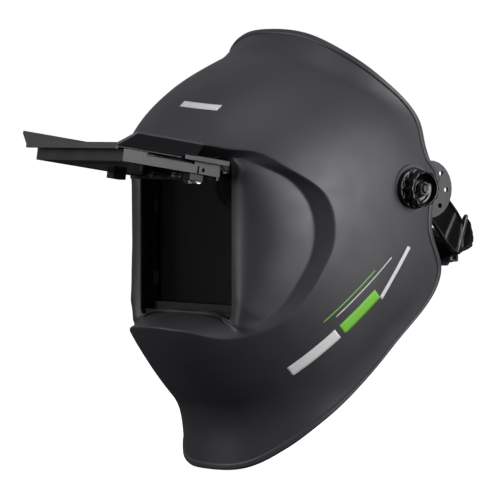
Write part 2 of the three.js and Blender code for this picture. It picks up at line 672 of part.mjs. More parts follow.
function neckStrap() {
  const stations = NECK_STRAP.map(([x, y, z, lean, width]) => ({
    at: vec(x, y, z), up: vec(0, lean, Math.sqrt(1 - lean * lean)), width,
  }));
  const hub = barX(STRAP_HUB_R, PLATE_IN - 4, PLATE_IN - GAP, DISC_Y, DISC_Z);
  const stub = barX(STRAP_STUB_R, PLATE_IN - 1, PLATE_OUT - 0.2, DISC_Y, DISC_Z, 20);
  return join(strip(stations, STRAP_THICK), hub, stub);
}
addPair("neck_strap", neckStrap(), GLOSS);

// Middle line of the rear cradle from its left end to the ratchet housing, and its width there.
const CRADLE = [[80, 81.5, -39.5, 31], [76.5, 90, -40.5, 22], [69.5, 100.5, -43, 13],
  [57, 108.5, -46, 12], [38, 113, -49.8, 13], [19, 115.3, -52.4, 20]];
const CRADLE_THICK = 2.6;
function cradleStations(extra, first = 0) {
  const half = CRADLE.slice(first).map(([x, y, z, width], i) => ({
    at: vec(x, y, z), up: vec(0, i + first < 2 ? 0.3 : 0.1, 1), width: width + extra,
  }));
  const middle = { at: vec(0, 116, -53.5), up: vec(0, 0.05, 1), width: 26 + extra };
  const other = half.map((s) => ({ ...s, at: vec(-s.at.x, s.at.y, s.at.z) })).reverse();
  return [...half, middle, ...other];
}

// The cradle carries the ratchet housing, open at both ends for the two racks.
const RATCHET_Z = -52;
function rearCradle() {
  const housing = join(
    barY(16.5, 116.6, 126.5, 0, RATCHET_Z, 28),
    box(-26, 26, 116.6, 126.5, RATCHET_Z - 11.5, RATCHET_Z + 11.5));
  return cut(join(strip(cradleStations(0), CRADLE_THICK), housing),
    box(-30, 30, 119.4, 124.2, RATCHET_Z - 9.8, RATCHET_Z + 9.8),
    barY(3.2, 123, 128, 0, RATCHET_Z, 16));
}
addMesh("rear_cradle", rearCradle(), SATIN);
addMesh("neck_pad", strip(cradleStations(6, 1), 5.2, 5.8), FABRIC);

function star(radius, depth, teeth, y0, y1) {
  const outline = new THREE.Shape();
  for (let i = 0; i < teeth * 4; i++) {
    const angle = (i / (teeth * 4)) * 2 * Math.PI;
    const r = i % 4 < 2 ? radius : radius - depth;
    outline[i ? "lineTo" : "moveTo"](r * Math.cos(angle), r * Math.sin(angle));
  }
  outline.closePath();
  const wheel = new THREE.ExtrudeGeometry(outline, { depth: y1 - y0, bevelEnabled: false });
  return wheel.rotateX(Math.PI / 2).translate(0, y1, RATCHET_Z);
}
addMesh("ratchet_knob", join(
  star(16, 1.4, 14, 126.9, 134.4), barY(2.8, 124.3, 128, 0, RATCHET_Z, 16)), SATIN);
addMesh("ratchet_pinion", star(5.7, 1, 10, 120.1, 124), SATIN);

function rack() {
  const bar = box(-8, 40, 119.8, 123.8, RATCHET_Z + 7, RATCHET_Z + 9.5);
  const teeth = [];
  const pitch = (2 * Math.PI * 6) / 10;
  for (let x = -6; x < 24; x += pitch) {
    teeth.push(box(x, x + pitch / 2, 119.8, 123.8, RATCHET_Z + 6, RATCHET_Z + 7.1));
  }
  return join(bar, ...teeth);
}
addMesh("rack_left", rack(), BLACK);
addMesh("rack_right", rack().rotateY(Math.PI).translate(0, 0, 2 * RATCHET_Z), BLACK);

export default helmet;
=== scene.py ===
"""Welding helmet: the looks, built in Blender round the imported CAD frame."""
import json
import math

import bmesh
import bpy
import numpy as np
from mathutils import Matrix, Vector
from mathutils.bvhtree import BVHTree


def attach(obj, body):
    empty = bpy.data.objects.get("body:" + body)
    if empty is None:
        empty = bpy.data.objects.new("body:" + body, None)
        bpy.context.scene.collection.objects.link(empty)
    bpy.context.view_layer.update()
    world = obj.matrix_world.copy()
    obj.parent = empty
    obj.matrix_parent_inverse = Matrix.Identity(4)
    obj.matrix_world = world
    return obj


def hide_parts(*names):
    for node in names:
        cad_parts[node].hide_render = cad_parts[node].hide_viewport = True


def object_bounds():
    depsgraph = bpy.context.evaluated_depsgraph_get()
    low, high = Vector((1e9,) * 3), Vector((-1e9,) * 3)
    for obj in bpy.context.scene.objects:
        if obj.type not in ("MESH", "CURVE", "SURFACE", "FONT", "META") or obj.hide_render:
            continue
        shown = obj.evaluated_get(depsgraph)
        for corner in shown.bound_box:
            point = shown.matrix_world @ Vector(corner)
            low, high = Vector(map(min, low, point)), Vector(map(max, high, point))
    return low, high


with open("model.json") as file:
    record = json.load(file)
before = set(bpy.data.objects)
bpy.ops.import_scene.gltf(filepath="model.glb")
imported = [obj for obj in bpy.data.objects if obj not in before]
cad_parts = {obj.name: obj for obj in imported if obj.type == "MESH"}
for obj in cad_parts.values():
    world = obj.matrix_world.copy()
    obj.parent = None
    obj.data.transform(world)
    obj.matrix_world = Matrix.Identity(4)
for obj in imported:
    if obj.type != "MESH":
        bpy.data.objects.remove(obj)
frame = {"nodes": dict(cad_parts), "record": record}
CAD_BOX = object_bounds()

MM = 0.001
RAD = math.pi / 180
NODES = frame["nodes"]


# ---------------------------------------------------------------- camera, light and floor
CAMERA_AZIMUTH = 52
CAMERA_ELEVATION = 2
CAMERA_DISTANCE = 3.013
CAMERA_TARGET = (-0.0342, -0.0467, -0.0517)
CAMERA_LENS = 266.4
FLOOR_Z = CAD_BOX[0][2]
FLOOR_DROP = 0.0018
FLOOR_GLOW = 0.8
WORLD_LIGHT = 0.45
SOFTBOXES = [
    # name, azimuth, elevation, distance, width, height, power
    ("right_box", 103, 8, 2.2, 1.5, 1.5, 53),
    ("left_box", -22, 12, 2.4, 0.9, 1.6, 24),
    ("top_box", 40, 66, 2.0, 1.4, 1.4, 7),
    ("strip_box", 163, 4, 1.9, 0.16, 1.3, 1.3),
]


def make_camera():
    data = bpy.data.cameras.new("camera")
    data.lens = CAMERA_LENS
    data.sensor_width = 36
    data.clip_end = 200
    camera = bpy.data.objects.new("camera", data)
    bpy.context.scene.collection.objects.link(camera)
    a = CAMERA_AZIMUTH * RAD
    e = CAMERA_ELEVATION * RAD
    away = Vector((math.sin(a) * math.cos(e), -math.cos(a) * math.cos(e), math.sin(e)))
    camera.location = Vector(CAMERA_TARGET) + away * CAMERA_DISTANCE
    camera.rotation_euler = away.to_track_quat("Z", "Y").to_euler()
    bpy.context.scene.camera = camera
    bpy.context.scene.view_settings.view_transform = "Standard"


def add_area(name, place, target, size, power, size_y=None):
    data = bpy.data.lights.new(name, "AREA")
    data.energy = power
    data.size = size
    if size_y:
        data.shape = "RECTANGLE"
        data.size_y = size_y
    light = bpy.data.objects.new(name, data)
    bpy.context.scene.collection.objects.link(light)
    light.location = place
    light.rotation_euler = (Vector(place) - Vector(target)).to_track_quat("Z", "Y").to_euler()
    return light


def direction(azimuth, elevation, distance):
    """A place seen from the object: azimuth 0 is ahead of the wearer, 90 is on the wearer's left."""
    a = azimuth * RAD
    e = elevation * RAD
    return Vector((math.sin(a) * math.cos(e), -math.cos(a) * math.cos(e), math.sin(e))) * distance


def make_world():
    """White surroundings to look at; as a light they are bright overhead and dark near the floor."""
    world = bpy.data.worlds.new("studio")
    bpy.context.scene.world = world
    world.use_nodes = True
    tree = world.node_tree
    tree.nodes.clear()
    out = tree.nodes.new("ShaderNodeOutputWorld")
    seen = tree.nodes.new("ShaderNodeBackground")
    seen.inputs["Color"].default_value = (1, 1, 1, 1)
    lit = tree.nodes.new("ShaderNodeBackground")
    lit.inputs["Strength"].default_value = WORLD_LIGHT
    coord = tree.nodes.new("ShaderNodeTexCoord")
    split = tree.nodes.new("ShaderNodeSeparateXYZ")
    height = tree.nodes.new("ShaderNodeMapRange")
    height.inputs["From Min"].default_value = -1
    ramp = tree.nodes.new("ShaderNodeValToRGB")
    path = tree.nodes.new("ShaderNodeLightPath")
    mix = tree.nodes.new("ShaderNodeMixShader")
    tree.links.new(coord.outputs["Generated"], split.inputs[0])
    tree.links.new(split.outputs["Z"], height.inputs["Value"])
    tree.links.new(height.outputs["Result"], ramp.inputs["Fac"])
    stops = [(0.0, 0.03), (0.42, 0.06), (0.52, 0.35), (0.7, 0.6), (1.0, 0.7)]
    while len(ramp.color_ramp.elements) < len(stops):
        ramp.color_ramp.elements.new(0.5)
    for element, (place, level) in zip(ramp.color_ramp.elements, stops):
        element.position = place
        element.color = (level, level, level * 1.04, 1)
    tree.links.new(ramp.outputs["Color"], lit.inputs["Color"])
    tree.links.new(path.outputs["Is Camera Ray"], mix.inputs["Fac"])
    tree.links.new(lit.outputs[0], mix.inputs[1])
    tree.links.new(seen.outputs[0], mix.inputs[2])
    tree.links.new(mix.outputs[0], out.inputs[0])


def make_floor():
    """A wide white floor that meets the white surroundings and takes a soft shadow."""
    mesh = bpy.data.meshes.new("floor")
    bm = bmesh.new()
    bmesh.ops.create_circle(bm, cap_ends=True, segments=64, radius=60)
    bm.to_mesh(mesh)
    bm.free()
    floor = bpy.data.objects.new("floor", mesh)
    bpy.context.scene.collection.objects.link(floor)
    floor.location.z = FLOOR_Z - FLOOR_DROP
    floor.visible_diffuse = False
    floor.visible_glossy = False
    material, tree, bsdf = new_material("floor_paper", (0.9, 0.9, 0.9), 0.9)
    bsdf.inputs["Specular IOR Level"].default_value = 0
    bsdf.inputs["Emission Color"].default_value = (1, 1, 1, 1)
    bsdf.inputs["Emission Strength"].default_value = FLOOR_GLOW
    mesh.materials.append(material)


def make_lights():
    for name, azimuth, elevation, distance, size, size_y, power in SOFTBOXES:
        add_area(name, direction(azimuth, elevation, distance), (0, -0.03, -0.03), size, power, size_y)


# ---------------------------------------------------------------- materials
def new_material(name, color, roughness, metallic=0.0):
    material = bpy.data.materials.new(name)
    material.use_nodes = True
    bsdf = material.node_tree.nodes["Principled BSDF"]
    bsdf.inputs["Base Color"].default_value = (*color, 1)
    bsdf.inputs["Roughness"].default_value = roughness
    bsdf.inputs["Metallic"].default_value = metallic
    return material, material.node_tree, bsdf


def noise(tree, scale, detail=4, stretch=(1, 1, 1)):
    coord = tree.nodes.new("ShaderNodeTexCoord")
    mapping = tree.nodes.new("ShaderNodeMapping")
    mapping.inputs["Scale"].default_value = stretch
    texture = tree.nodes.new("ShaderNodeTexNoise")
    texture.inputs["Scale"].default_value = scale
    texture.inputs["Detail"].default_value = detail
    tree.links.new(coord.outputs["Object"], mapping.inputs["Vector"])
    tree.links.new(mapping.outputs["Vector"], texture.inputs["Vector"])
    return texture.outputs["Fac"]


def spread(tree, value, low, high):
    """Maps a noise value to low...high."""
    node = tree.nodes.new("ShaderNodeMapRange")
    node.inputs["From Min"].default_value = 0.3
    node.inputs["From Max"].default_value = 0.7
    node.inputs["To Min"].default_value = low
    node.inputs["To Max"].default_value = high
    tree.links.new(value, node.inputs["Value"])
    return node.outputs["Result"]


def tinted(tree, factor, dark, light):
    node = tree.nodes.new("ShaderNodeMix")
    node.data_type = "RGBA"
    node.inputs["A"].default_value = (*dark, 1)
    node.inputs["B"].default_value = (*light, 1)
    tree.links.new(factor, node.inputs["Factor"])
    return node.outputs["Result"]


def bumped(tree, bsdf, height, strength, distance):
    node = tree.nodes.new("ShaderNodeBump")
    node.inputs["Strength"].default_value = strength
    node.inputs["Distance"].default_value = distance
    tree.links.new(height, node.inputs["Height"])
    tree.links.new(node.outputs["Normal"], bsdf.inputs["Normal"])
    return node


def moulded(name, dark, light, roughness, grain_size, grain_depth, specular=0.5):
    """Injection-moulded plastic: faint cloudy tone, uneven gloss and a fine spark-eroded grain."""
    material, tree, bsdf = new_material(name, light, roughness)
    bsdf.inputs["Specular IOR Level"].default_value = specular
    cloud = noise(tree, 14, 5)
    tree.links.new(tinted(tree, spread(tree, cloud, 0, 1), dark, light), bsdf.inputs["Base Color"])
    gloss = noise(tree, 60, 6)
    tree.links.new(spread(tree, gloss, roughness - 0.04, roughness + 0.05), bsdf.inputs["Roughness"])
    bumped(tree, bsdf, noise(tree, 1 / grain_size, 3), 0.5, grain_depth)
    return material


def glass(name, color, roughness, alpha):
    """A polycarbonate or glass plate with faint streaks in its gloss."""
    material, tree, bsdf = new_material(name, color, roughness)
    bsdf.inputs["Alpha"].default_value = alpha
    bsdf.inputs["IOR"].default_value = 1.5
    bsdf.inputs["Specular IOR Level"].default_value = 0.15
    streaks = noise(tree, 22, 3, (0.4, 1, 2.5))
    tree.links.new(spread(tree, streaks, roughness, roughness + 0.05), bsdf.inputs["Roughness"])
    dust = noise(tree, 90, 2)
    dusted = tinted(tree, spread(tree, dust, 0, 1), color, [c * 1.3 for c in color])
    tree.links.new(dusted, bsdf.inputs["Base Color"])
    return material


def steel(name, color, roughness):
    """Bright plated steel with fine brushing."""
    material, tree, bsdf = new_material(name, color, roughness, 1.0)
    brush = noise(tree, 300, 2, (0.1, 1, 1))
    tree.links.new(spread(tree, brush, roughness - 0.05, roughness + 0.1), bsdf.inputs["Roughness"])
    cloud = noise(tree, 40, 4)
    clouded = tinted(tree, spread(tree, cloud, 0, 1), [c * 0.85 for c in color], color)
    tree.links.new(clouded, bsdf.inputs["Base Color"])
    bumped(tree, bsdf, brush, 0.3, 0.00003)
    return material


def fabric(name, dark, light, rib_pitch, sheen):
    """Brushed knit: tiny crossed loops, a fuzzy sheen and uneven tone."""
    material, tree, bsdf = new_material(name, light, 0.95)
    bsdf.inputs["Specular IOR Level"].default_value = 0.08
    bsdf.inputs["Sheen Weight"].default_value = sheen
    bsdf.inputs["Sheen Roughness"].default_value = 0.5
    coord = tree.nodes.new("ShaderNodeTexCoord")
    heights = []
    for axis, tilt in (("X", 0.6), ("Z", -0.5)):
        turn = tree.nodes.new("ShaderNodeMapping")
        turn.inputs["Rotation"].default_value = (0.3, tilt, 0.4)
        wave = tree.nodes.new("ShaderNodeTexWave")
        wave.bands_direction = axis
        wave.inputs["Scale"].default_value = 0.314 / rib_pitch
        wave.inputs["Distortion"].default_value = 2.5
        wave.inputs["Detail"].default_value = 2
        tree.links.new(coord.outputs["Object"], turn.inputs["Vector"])
        tree.links.new(turn.outputs["Vector"], wave.inputs["Vector"])
        heights.append(wave.outputs["Fac"])
    weave = tree.nodes.new("ShaderNodeMath")
    weave.operation = "MULTIPLY"
    tree.links.new(heights[0], weave.inputs[0])
    tree.links.new(heights[1], weave.inputs[1])
    fuzz = noise(tree, 500, 4)
    mixed = tree.nodes.new("ShaderNodeMath")
    mixed.operation = "ADD"
    tree.links.new(weave.outputs[0], mixed.inputs[0])
    tree.links.new(fuzz, mixed.inputs[1])
    faded = tinted(tree, spread(tree, noise(tree, 180, 5), 0, 1), dark, light)
    tree.links.new(faded, bsdf.inputs["Base Color"])
    bumped(tree, bsdf, mixed.outputs[0], 0.8, 0.0006)
    return material


def make_materials():
    """The record's slots, then finishes that only some pieces have."""
    return {
        "shell_plastic": moulded(
            "shell_plastic", (0.0285, 0.0285, 0.0333), (0.0365, 0.0365, 0.0428), 0.47, 0.0007, 0.00006),
        "satin_plastic": moulded(
            "satin_plastic", (0.052, 0.052, 0.057), (0.064, 0.064, 0.070), 0.36, 0.0008, 0.00004),
        "black_plastic": moulded(
            "black_plastic", (0.003, 0.003, 0.0033), (0.006, 0.006, 0.0065), 0.4, 0.0008, 0.00004, 0.35),
        "gloss_plastic": moulded(
            "gloss_plastic", (0.0035, 0.0035, 0.004), (0.006, 0.006, 0.0065), 0.14, 0.004, 0.00002),
        "steel": steel("steel", (0.56, 0.56, 0.57), 0.28),
        "clear_lens": glass("clear_lens", (0.001, 0.001, 0.0012), 0.03, 0.5),
        "dark_glass": glass("dark_glass", (0.006, 0.012, 0.010), 0.05, 1.0),
        "rubber": moulded("rubber", (0.008, 0.008, 0.008), (0.013, 0.013, 0.013), 0.75, 0.0012, 0.0001),
        "pad_fabric": fabric("pad_fabric", (0.0015, 0.0015, 0.0018), (0.0045, 0.0045, 0.005), 0.0012, 0.02),
        "board": moulded("board", (0.012, 0.07, 0.025), (0.02, 0.11, 0.04), 0.4, 0.001, 0.00003),
        "shell_inside": moulded(
            "shell_inside", (0.008, 0.008, 0.009), (0.012, 0.012, 0.0135), 0.6, 0.0007, 0.00006, 0.3),
        "tray_plastic": moulded(
            "tray_plastic", (0.007, 0.007, 0.008), (0.011, 0.011, 0.012), 0.34, 0.0008, 0.00004),
        "dark_steel": steel("dark_steel", (0.085, 0.085, 0.09), 0.34),
        "print_white": moulded("print_white", (0.6, 0.6, 0.6), (0.72, 0.72, 0.72), 0.5, 0.0005, 0.00002),
        "print_green": moulded("print_green", (0.16, 0.46, 0.035), (0.2, 0.56, 0.05), 0.5, 0.0005, 0.00002),
        # the stitches are real, but their light grey is painted highlight standing in for glints along the
        # sewn edge of the pad
        "thread_painted_glint": moulded("thread_painted_glint", (0.05, 0.05, 0.055), (0.16, 0.16, 0.17), 0.5, 0.0004, 0.00005),
    }


# ---------------------------------------------------------------- mesh helpers
WELD = 1e-6  # metres


def add_mesh(name, points, faces, material, smooth=True):
    """An object from points in millimetres."""
    mesh = bpy.data.meshes.new(name)
    mesh.from_pydata([tuple(float(c) * MM for c in p) for p in points], [], faces)
    mesh.update()
    if smooth:
        mesh.polygons.foreach_set("use_smooth", [True] * len(mesh.polygons))
    mesh.materials.append(material)
    piece = bpy.data.objects.new(name, mesh)
    bpy.context.scene.collection.objects.link(piece)
    return piece


def settle(piece, body, slot, *nodes):
    """Every piece rides on a body and may stand for CAD nodes; the slot argument is not used."""
    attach(piece, body)
    if nodes:
        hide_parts(*nodes)
    return piece


# ---------------------------------------------------------------- shell surface
DOME_Y = -20
DOME_Z = -20
DOME_POWER = 2.3
PITCH = [-180, -130, -95, -75, -60, -45, -30, -15, 0, 15, 30, 45, 60, 75, 95, 130, 180]
RADIUS = [160, 180, 190, 203, 189.5, 180.5, 176.7, 172.3, 167, 161.3, 154.6, 146.2, 140, 139, 141, 143, 160]
WIDTH_PITCH = [-180, -120, -70, -35, 0, 60, 120, 180]
HALF_WIDTH = [116, 116, 112, 116, 118, 118, 116, 116]
WALL = 2.4
BEAD = 1.2
BEAD_WIDTH = 4
RIM_CLOCK = [-90, -75, -62, -50, -40, -30, -14, -3, 3, 11, 15, 19, 30, 45, 60, 75, 90]
RIM_REACH = [66.8, 69, 72.7, 78, 84.5, 92.5, 105, 101.2, 102.8, 107.3, 104.8, 104, 103, 92, 83, 79, 76.5]
RIM_FLARE = [29, 26, 17, 9, 4, 2, 0.5, 0, 0, 0, 0.2, 0.5, 2.5, 6.5, 10, 11, 11.5]
SPAN_CLOCK = [-90, -60, -30, 0, 30, 60, 90]
SPAN_REACH = [13, 12, 8, 5, 8, 11, 12]
BROW_CLOCK = [-90, -75, -60, -45, -30, -15, -5, 5, 15, 24, 30, 39, 51, 70, 90]
BROW_REACH = [30.1, 31.5, 36.3, 48, 61, 70, 73.8, 69.8, 57, 47.3, 39.1, 32.2, 26.6, 21.6, 20.3]
FLOOR_CLOCK = [-90, -72, -60, -52, -45, -38.7, -32.6, -25.5, -17.6, -10.3, -3.7, 4.1, 11.7, 18.8, 28.1,
               50, 90]
FLOOR_X = [0, 27, 45, 55, 62.5, 71.9, 80.3, 87.8, 94, 98.5, 100.2, 98, 91.4, 81, 64, 38, 0]
FLOOR_Y = [-139, -139, -139, -139.2, -139.3, -137.4, -125.3, -111.6, -100.4, -90.8, -88.3, -93.7, -108.2,
           -128.9, -139.5, -139, -139]
FLOOR_ZED = [-98.2, -98.6, -101.4, -104.2, -107, -107, -101.7, -90.3, -72.5, -52.2, -31.7, -8.7, 9.1, 19.4,
             25, 25, 25]
WINDOW_HALF = 60
WINDOW_TOP = 24
WINDOW_BOTTOM = -97
WINDOW_Y = -138.5
WINDOW_CORNER = 24
SILL_DROP = 6.5
SILL_FLAT = 20
SILL_FADE = 40
WINDOW_CLOCK = [-90, -45, -8, 28.1, 90]
WINDOW_TURN = [-90, -45, 0, 45, 90]
BOSS_R = 18.6
BOSS_IN = 110.5
BOSS_X = 114.3
RING_X = 115.5
RING_IN = 16.6
BORE_R = 3.5
BORE_START = 100
CUT_OUT = 126  # cutters run out past the shell's surface


def smooth(xs, ys, x, level_ends=False):
    """Smooth curve through knots, held flat outside them. Works on arrays."""
    xs = np.asarray(xs, float)
    ys = np.asarray(ys, float)
    x = np.clip(np.asarray(x, float), xs[0], xs[-1])
    gaps = np.diff(xs)
    slopes = np.diff(ys) / gaps
    tangents = np.empty_like(ys)
    tangents[1:-1] = (slopes[:-1] * gaps[1:] + slopes[1:] * gaps[:-1]) / (gaps[1:] + gaps[:-1])
    tangents[0] = 0 if level_ends else slopes[0]
    tangents[-1] = 0 if level_ends else slopes[-1]
    i = np.clip(np.searchsorted(xs, x) - 1, 0, len(xs) - 2)
    h = gaps[i]
    t = (x - xs[i]) / h
    s = 1 - t
    return ((1 + 2 * t) * s * s * ys[i] + t * s * s * h * tangents[i]
            + t * t * (3 - 2 * t) * ys[i + 1] - t * t * s * h * tangents[i + 1])


def dome(clock, reach):
    """Points of the plain dome, for arrays of clock angle and reach in degrees."""
    clock, reach = np.broadcast_arrays(np.asarray(clock, float) * RAD, np.asarray(reach, float) * RAD)
    ex = np.sin(reach) * np.cos(clock)
    ahead = np.cos(reach)
    up = np.sin(reach) * np.sin(clock)
    pitch = np.arctan2(up, ahead)
    side = np.hypot(up, ahead)
    width = HALF_WIDTH[-1] + (smooth(WIDTH_PITCH, HALF_WIDTH, pitch / RAD) - HALF_WIDTH[-1]) * side ** 2
    r = smooth(PITCH, RADIUS, pitch / RAD) * side ** (2 / DOME_POWER)
    return np.stack([
        width * np.sign(ex) * np.abs(ex) ** (2 / DOME_POWER),
        DOME_Y - r * np.cos(pitch),
        DOME_Z + r * np.sin(pitch)], -1)


def unit(v):
    return v / np.maximum(np.linalg.norm(v, axis=-1, keepdims=True), 1e-9)


def dome_normal(clock, reach):
    d = 0.5
    along = dome(clock, reach + d) - dome(clock, reach - d)
    around = dome(clock + d, reach) - dome(clock - d, reach)
    return -unit(np.cross(around, along))


def window_edge(clock):
    turn = smooth(WINDOW_CLOCK, WINDOW_TURN, clock) * RAD
    c, s = np.cos(turn), np.sin(turn)
    k = (np.abs(c) ** WINDOW_CORNER + np.abs(s) ** WINDOW_CORNER) ** (-1 / WINDOW_CORNER)
    middle = (WINDOW_TOP + WINDOW_BOTTOM) / 2
    half = (WINDOW_TOP - WINDOW_BOTTOM) / 2
    x = WINDOW_HALF * k * c
    z = middle + half * k * s
    out = np.maximum(0, np.abs(x) - SILL_FLAT) / (WINDOW_HALF - SILL_FLAT)
    low = np.clip((WINDOW_BOTTOM + SILL_FADE - z) / SILL_FADE, 0, 1)
    return np.stack([x, np.full_like(c, WINDOW_Y), z - SILL_DROP * out * out * low], -1)


def floor_edge(clock):
    return np.stack([smooth(FLOOR_CLOCK, FLOOR_X, clock), smooth(FLOOR_CLOCK, FLOOR_Y, clock, True),
                     smooth(FLOOR_CLOCK, FLOOR_ZED, clock, True)], -1)


def bezier(a, b, c, d, t):
    s = 1 - t
    return s ** 3 * a + 3 * s * s * t * b + 3 * s * t * t * c + t ** 3 * d


def shell_rings():
    """Rings of the shell's outside from the window edge to the rim, each an array over the clock."""
    half = 241
    clock = np.linspace(-90, 90, half)
    start = window_edge(clock)
    floor = floor_edge(clock)
    reach_out = smooth(BROW_CLOCK, BROW_REACH, clock, True)
    brow = dome(clock, reach_out)
    flat = (floor - start) * np.array([1, 0, 1])
    span = np.linalg.norm(flat, axis=1, keepdims=True)
    leave = start + 0.62 * flat + span * np.array([0, -0.07, 0])
    back = unit(dome(clock, reach_out) - dome(clock, reach_out - 2))
    arrive = floor - back * 0.55 * span
    arrive[:, 1] = np.maximum(arrive[:, 1], WINDOW_Y - 2)
    wall = brow - floor
    wall_length = np.linalg.norm(wall, axis=1, keepdims=True)
    wall_unit = wall / wall_length
    floor_round = np.minimum(1.4, wall_length / 3)
    crest = np.minimum(1.7, wall_length / 3)
    crest_reach = reach_out + 0.6
    crest_end = dome(clock, crest_reach)
    rings = []
    flank_steps = 26
    round_start = bezier(start, leave, arrive, floor, 1 - np.minimum(0.5, floor_round / np.maximum(span, 1)))
    for t in [*np.linspace(0, 1, flank_steps)[:-1], 0.985, 1]:
        limit = 1 - np.minimum(0.5, floor_round / np.maximum(span, 1))
        rings.append(bezier(start, leave, arrive, floor, t * limit))
    wall_start = floor + wall_unit * floor_round
    for t in (0.25, 0.5, 0.75):
        rings.append((1 - t) ** 2 * round_start + 2 * t * (1 - t) * floor + t * t * wall_start)
    wall_end = brow - wall_unit * crest
    for t in (0, 0.03, 0.2, 0.4, 0.6, 0.8, 0.97, 1):
        rings.append(wall_start + (wall_end - wall_start) * t)
    for t in (0.2, 0.4, 0.6, 0.8):
        rings.append((1 - t) ** 2 * wall_end + 2 * t * (1 - t) * brow + t * t * crest_end)
    edge = smooth(RIM_CLOCK, RIM_REACH, clock, True)
    flare = smooth(RIM_CLOCK, RIM_FLARE, clock, True)
    flare_start = edge - smooth(SPAN_CLOCK, SPAN_REACH, clock, True)
    for t in np.linspace(0, 1, 60):
        rings.append(dome(clock, crest_reach + (flare_start - crest_reach) * t))

    def lift(t):
        reach = flare_start + (edge - flare_start) * t
        rise = flare * np.power(t, 1.8)
        return dome(clock, reach) + dome_normal(clock, reach) * rise[:, None]

    rim_length = np.linalg.norm(lift(np.ones(half)) - lift(np.full(half, 0.75)), axis=1) / 0.25
    bead_at = 1 - BEAD_WIDTH / rim_length
    for t in np.linspace(0, 1, 16)[1:]:
        rings.append(lift(bead_at * t))
    plain = len(rings)
    bead_steps = 8
    for t in np.linspace(0, 1, bead_steps + 1)[1:]:
        rings.append(lift(bead_at + (1 - bead_at) * t))
    return np.array(rings), plain


def close_round(half_rings):
    """Mirrors half rings (from chin to crown) into full ones."""
    other = half_rings[:, -2:0:-1].copy()
    other[:, :, 0] *= -1
    return np.concatenate([half_rings, other], axis=1)


def grid_normals(rings):
    along = np.empty_like(rings)
    along[1:-1] = rings[2:] - rings[:-2]
    along[0] = rings[1] - rings[0]
    along[-1] = rings[-1] - rings[-2]
    around = np.roll(rings, -1, axis=1) - np.roll(rings, 1, axis=1)
    return unit(np.cross(along, around))


def combine(piece, other, operation):
    """Joins another closed mesh to a piece, or cuts it out, and throws the other away."""
    step = piece.modifiers.new("combine", "BOOLEAN")
    step.object = other
    step.operation = operation
    step.solver = "MANIFOLD"
    apply_modifiers(piece)
    bpy.data.objects.remove(other)


def apply_modifiers(piece):
    """Makes a piece's modifiers part of its mesh."""
    shape = bpy.data.meshes.new_from_object(piece.evaluated_get(bpy.context.evaluated_depsgraph_get()))
    piece.modifiers.clear()
    old = piece.data
    piece.data = shape
    bpy.data.meshes.remove(old)


def soften(piece, angle=35):
    """Smooth shading that keeps corners sharper than the angle."""
    piece.data.polygons.foreach_set("use_smooth", [True] * len(piece.data.polygons))
    piece.data.set_sharp_from_angle(angle=angle * RAD)


def tidy_normals(piece):
    """Welds points that coincide, such as those on a turning axis, and points every face outwards."""
    bm = bmesh.new()
    bm.from_mesh(piece.data)
    bmesh.ops.remove_doubles(bm, verts=bm.verts, dist=WELD)
    loose = [edge for edge in bm.edges if not edge.link_faces]
    bmesh.ops.delete(bm, geom=loose, context="EDGES")
    bmesh.ops.recalc_face_normals(bm, faces=bm.faces)
    bm.to_mesh(piece.data)
    bm.free()


def turned_back(name, profile, centre_z, material, sides=112, wave=None):
    """A closed profile of (radius, y) points turned about a line that runs front to back."""
    rows = len(profile)
    points = []
    for angle in np.linspace(0, 2 * math.pi, sides, endpoint=False):
        for radius, y in profile:
            r = radius * wave(angle, radius, y) if wave else radius
            points.append((r * math.cos(angle), y, centre_z + r * math.sin(angle)))
    faces = []
    for i in range(sides):
        after = ((i + 1) % sides) * rows
        for j in range(rows):
            k = (j + 1) % rows
            faces.append((i * rows + j, i * rows + k, after + k, after + j))
    piece = add_mesh(name, points, faces, material)
    tidy_normals(piece)
    soften(piece)
    return piece


def block(name, low, high, material, rounding=0.8):
    """A rounded block between two corners in millimetres."""
    low, high = np.array(low, float), np.array(high, float)
    mesh = bpy.data.meshes.new(name)
    bm = bmesh.new()
    bmesh.ops.create_cube(bm, size=1)
    for vert in bm.verts:
        vert.co = Vector((low + high) / 2 + (high - low) * np.array(vert.co)) * MM
    bmesh.ops.bevel(bm, geom=bm.edges[:], offset=rounding * MM, segments=4, affect="EDGES", profile=0.5)
    bm.to_mesh(mesh)
    bm.free()
    mesh.materials.append(material)
    piece = bpy.data.objects.new(name, mesh)
    bpy.context.scene.collection.objects.link(piece)
    soften(piece)
    return piece


def turned(name, profile, material, sides=96, wave=None, side=1):
    """A closed profile of (radius, x) points turned about the pivot axis; side -1 is its mirror."""
    rows = len(profile)
    angles = np.linspace(0, 2 * math.pi, sides, endpoint=False)
    points = []
    for angle in angles:
        for radius, x in profile:
            r = radius * wave(angle, radius, x) if wave else radius
            points.append((side * x, r * math.cos(angle), r * math.sin(angle)))
    faces = []
    for i in range(sides):
        here = i * rows
        after = ((i + 1) % sides) * rows
        for j in range(rows):
            k = (j + 1) % rows
            faces.append((here + j, after + j, after + k, here + k))
    piece = add_mesh(name, points, faces, material)
    tidy_normals(piece)
    soften(piece)
    return piece


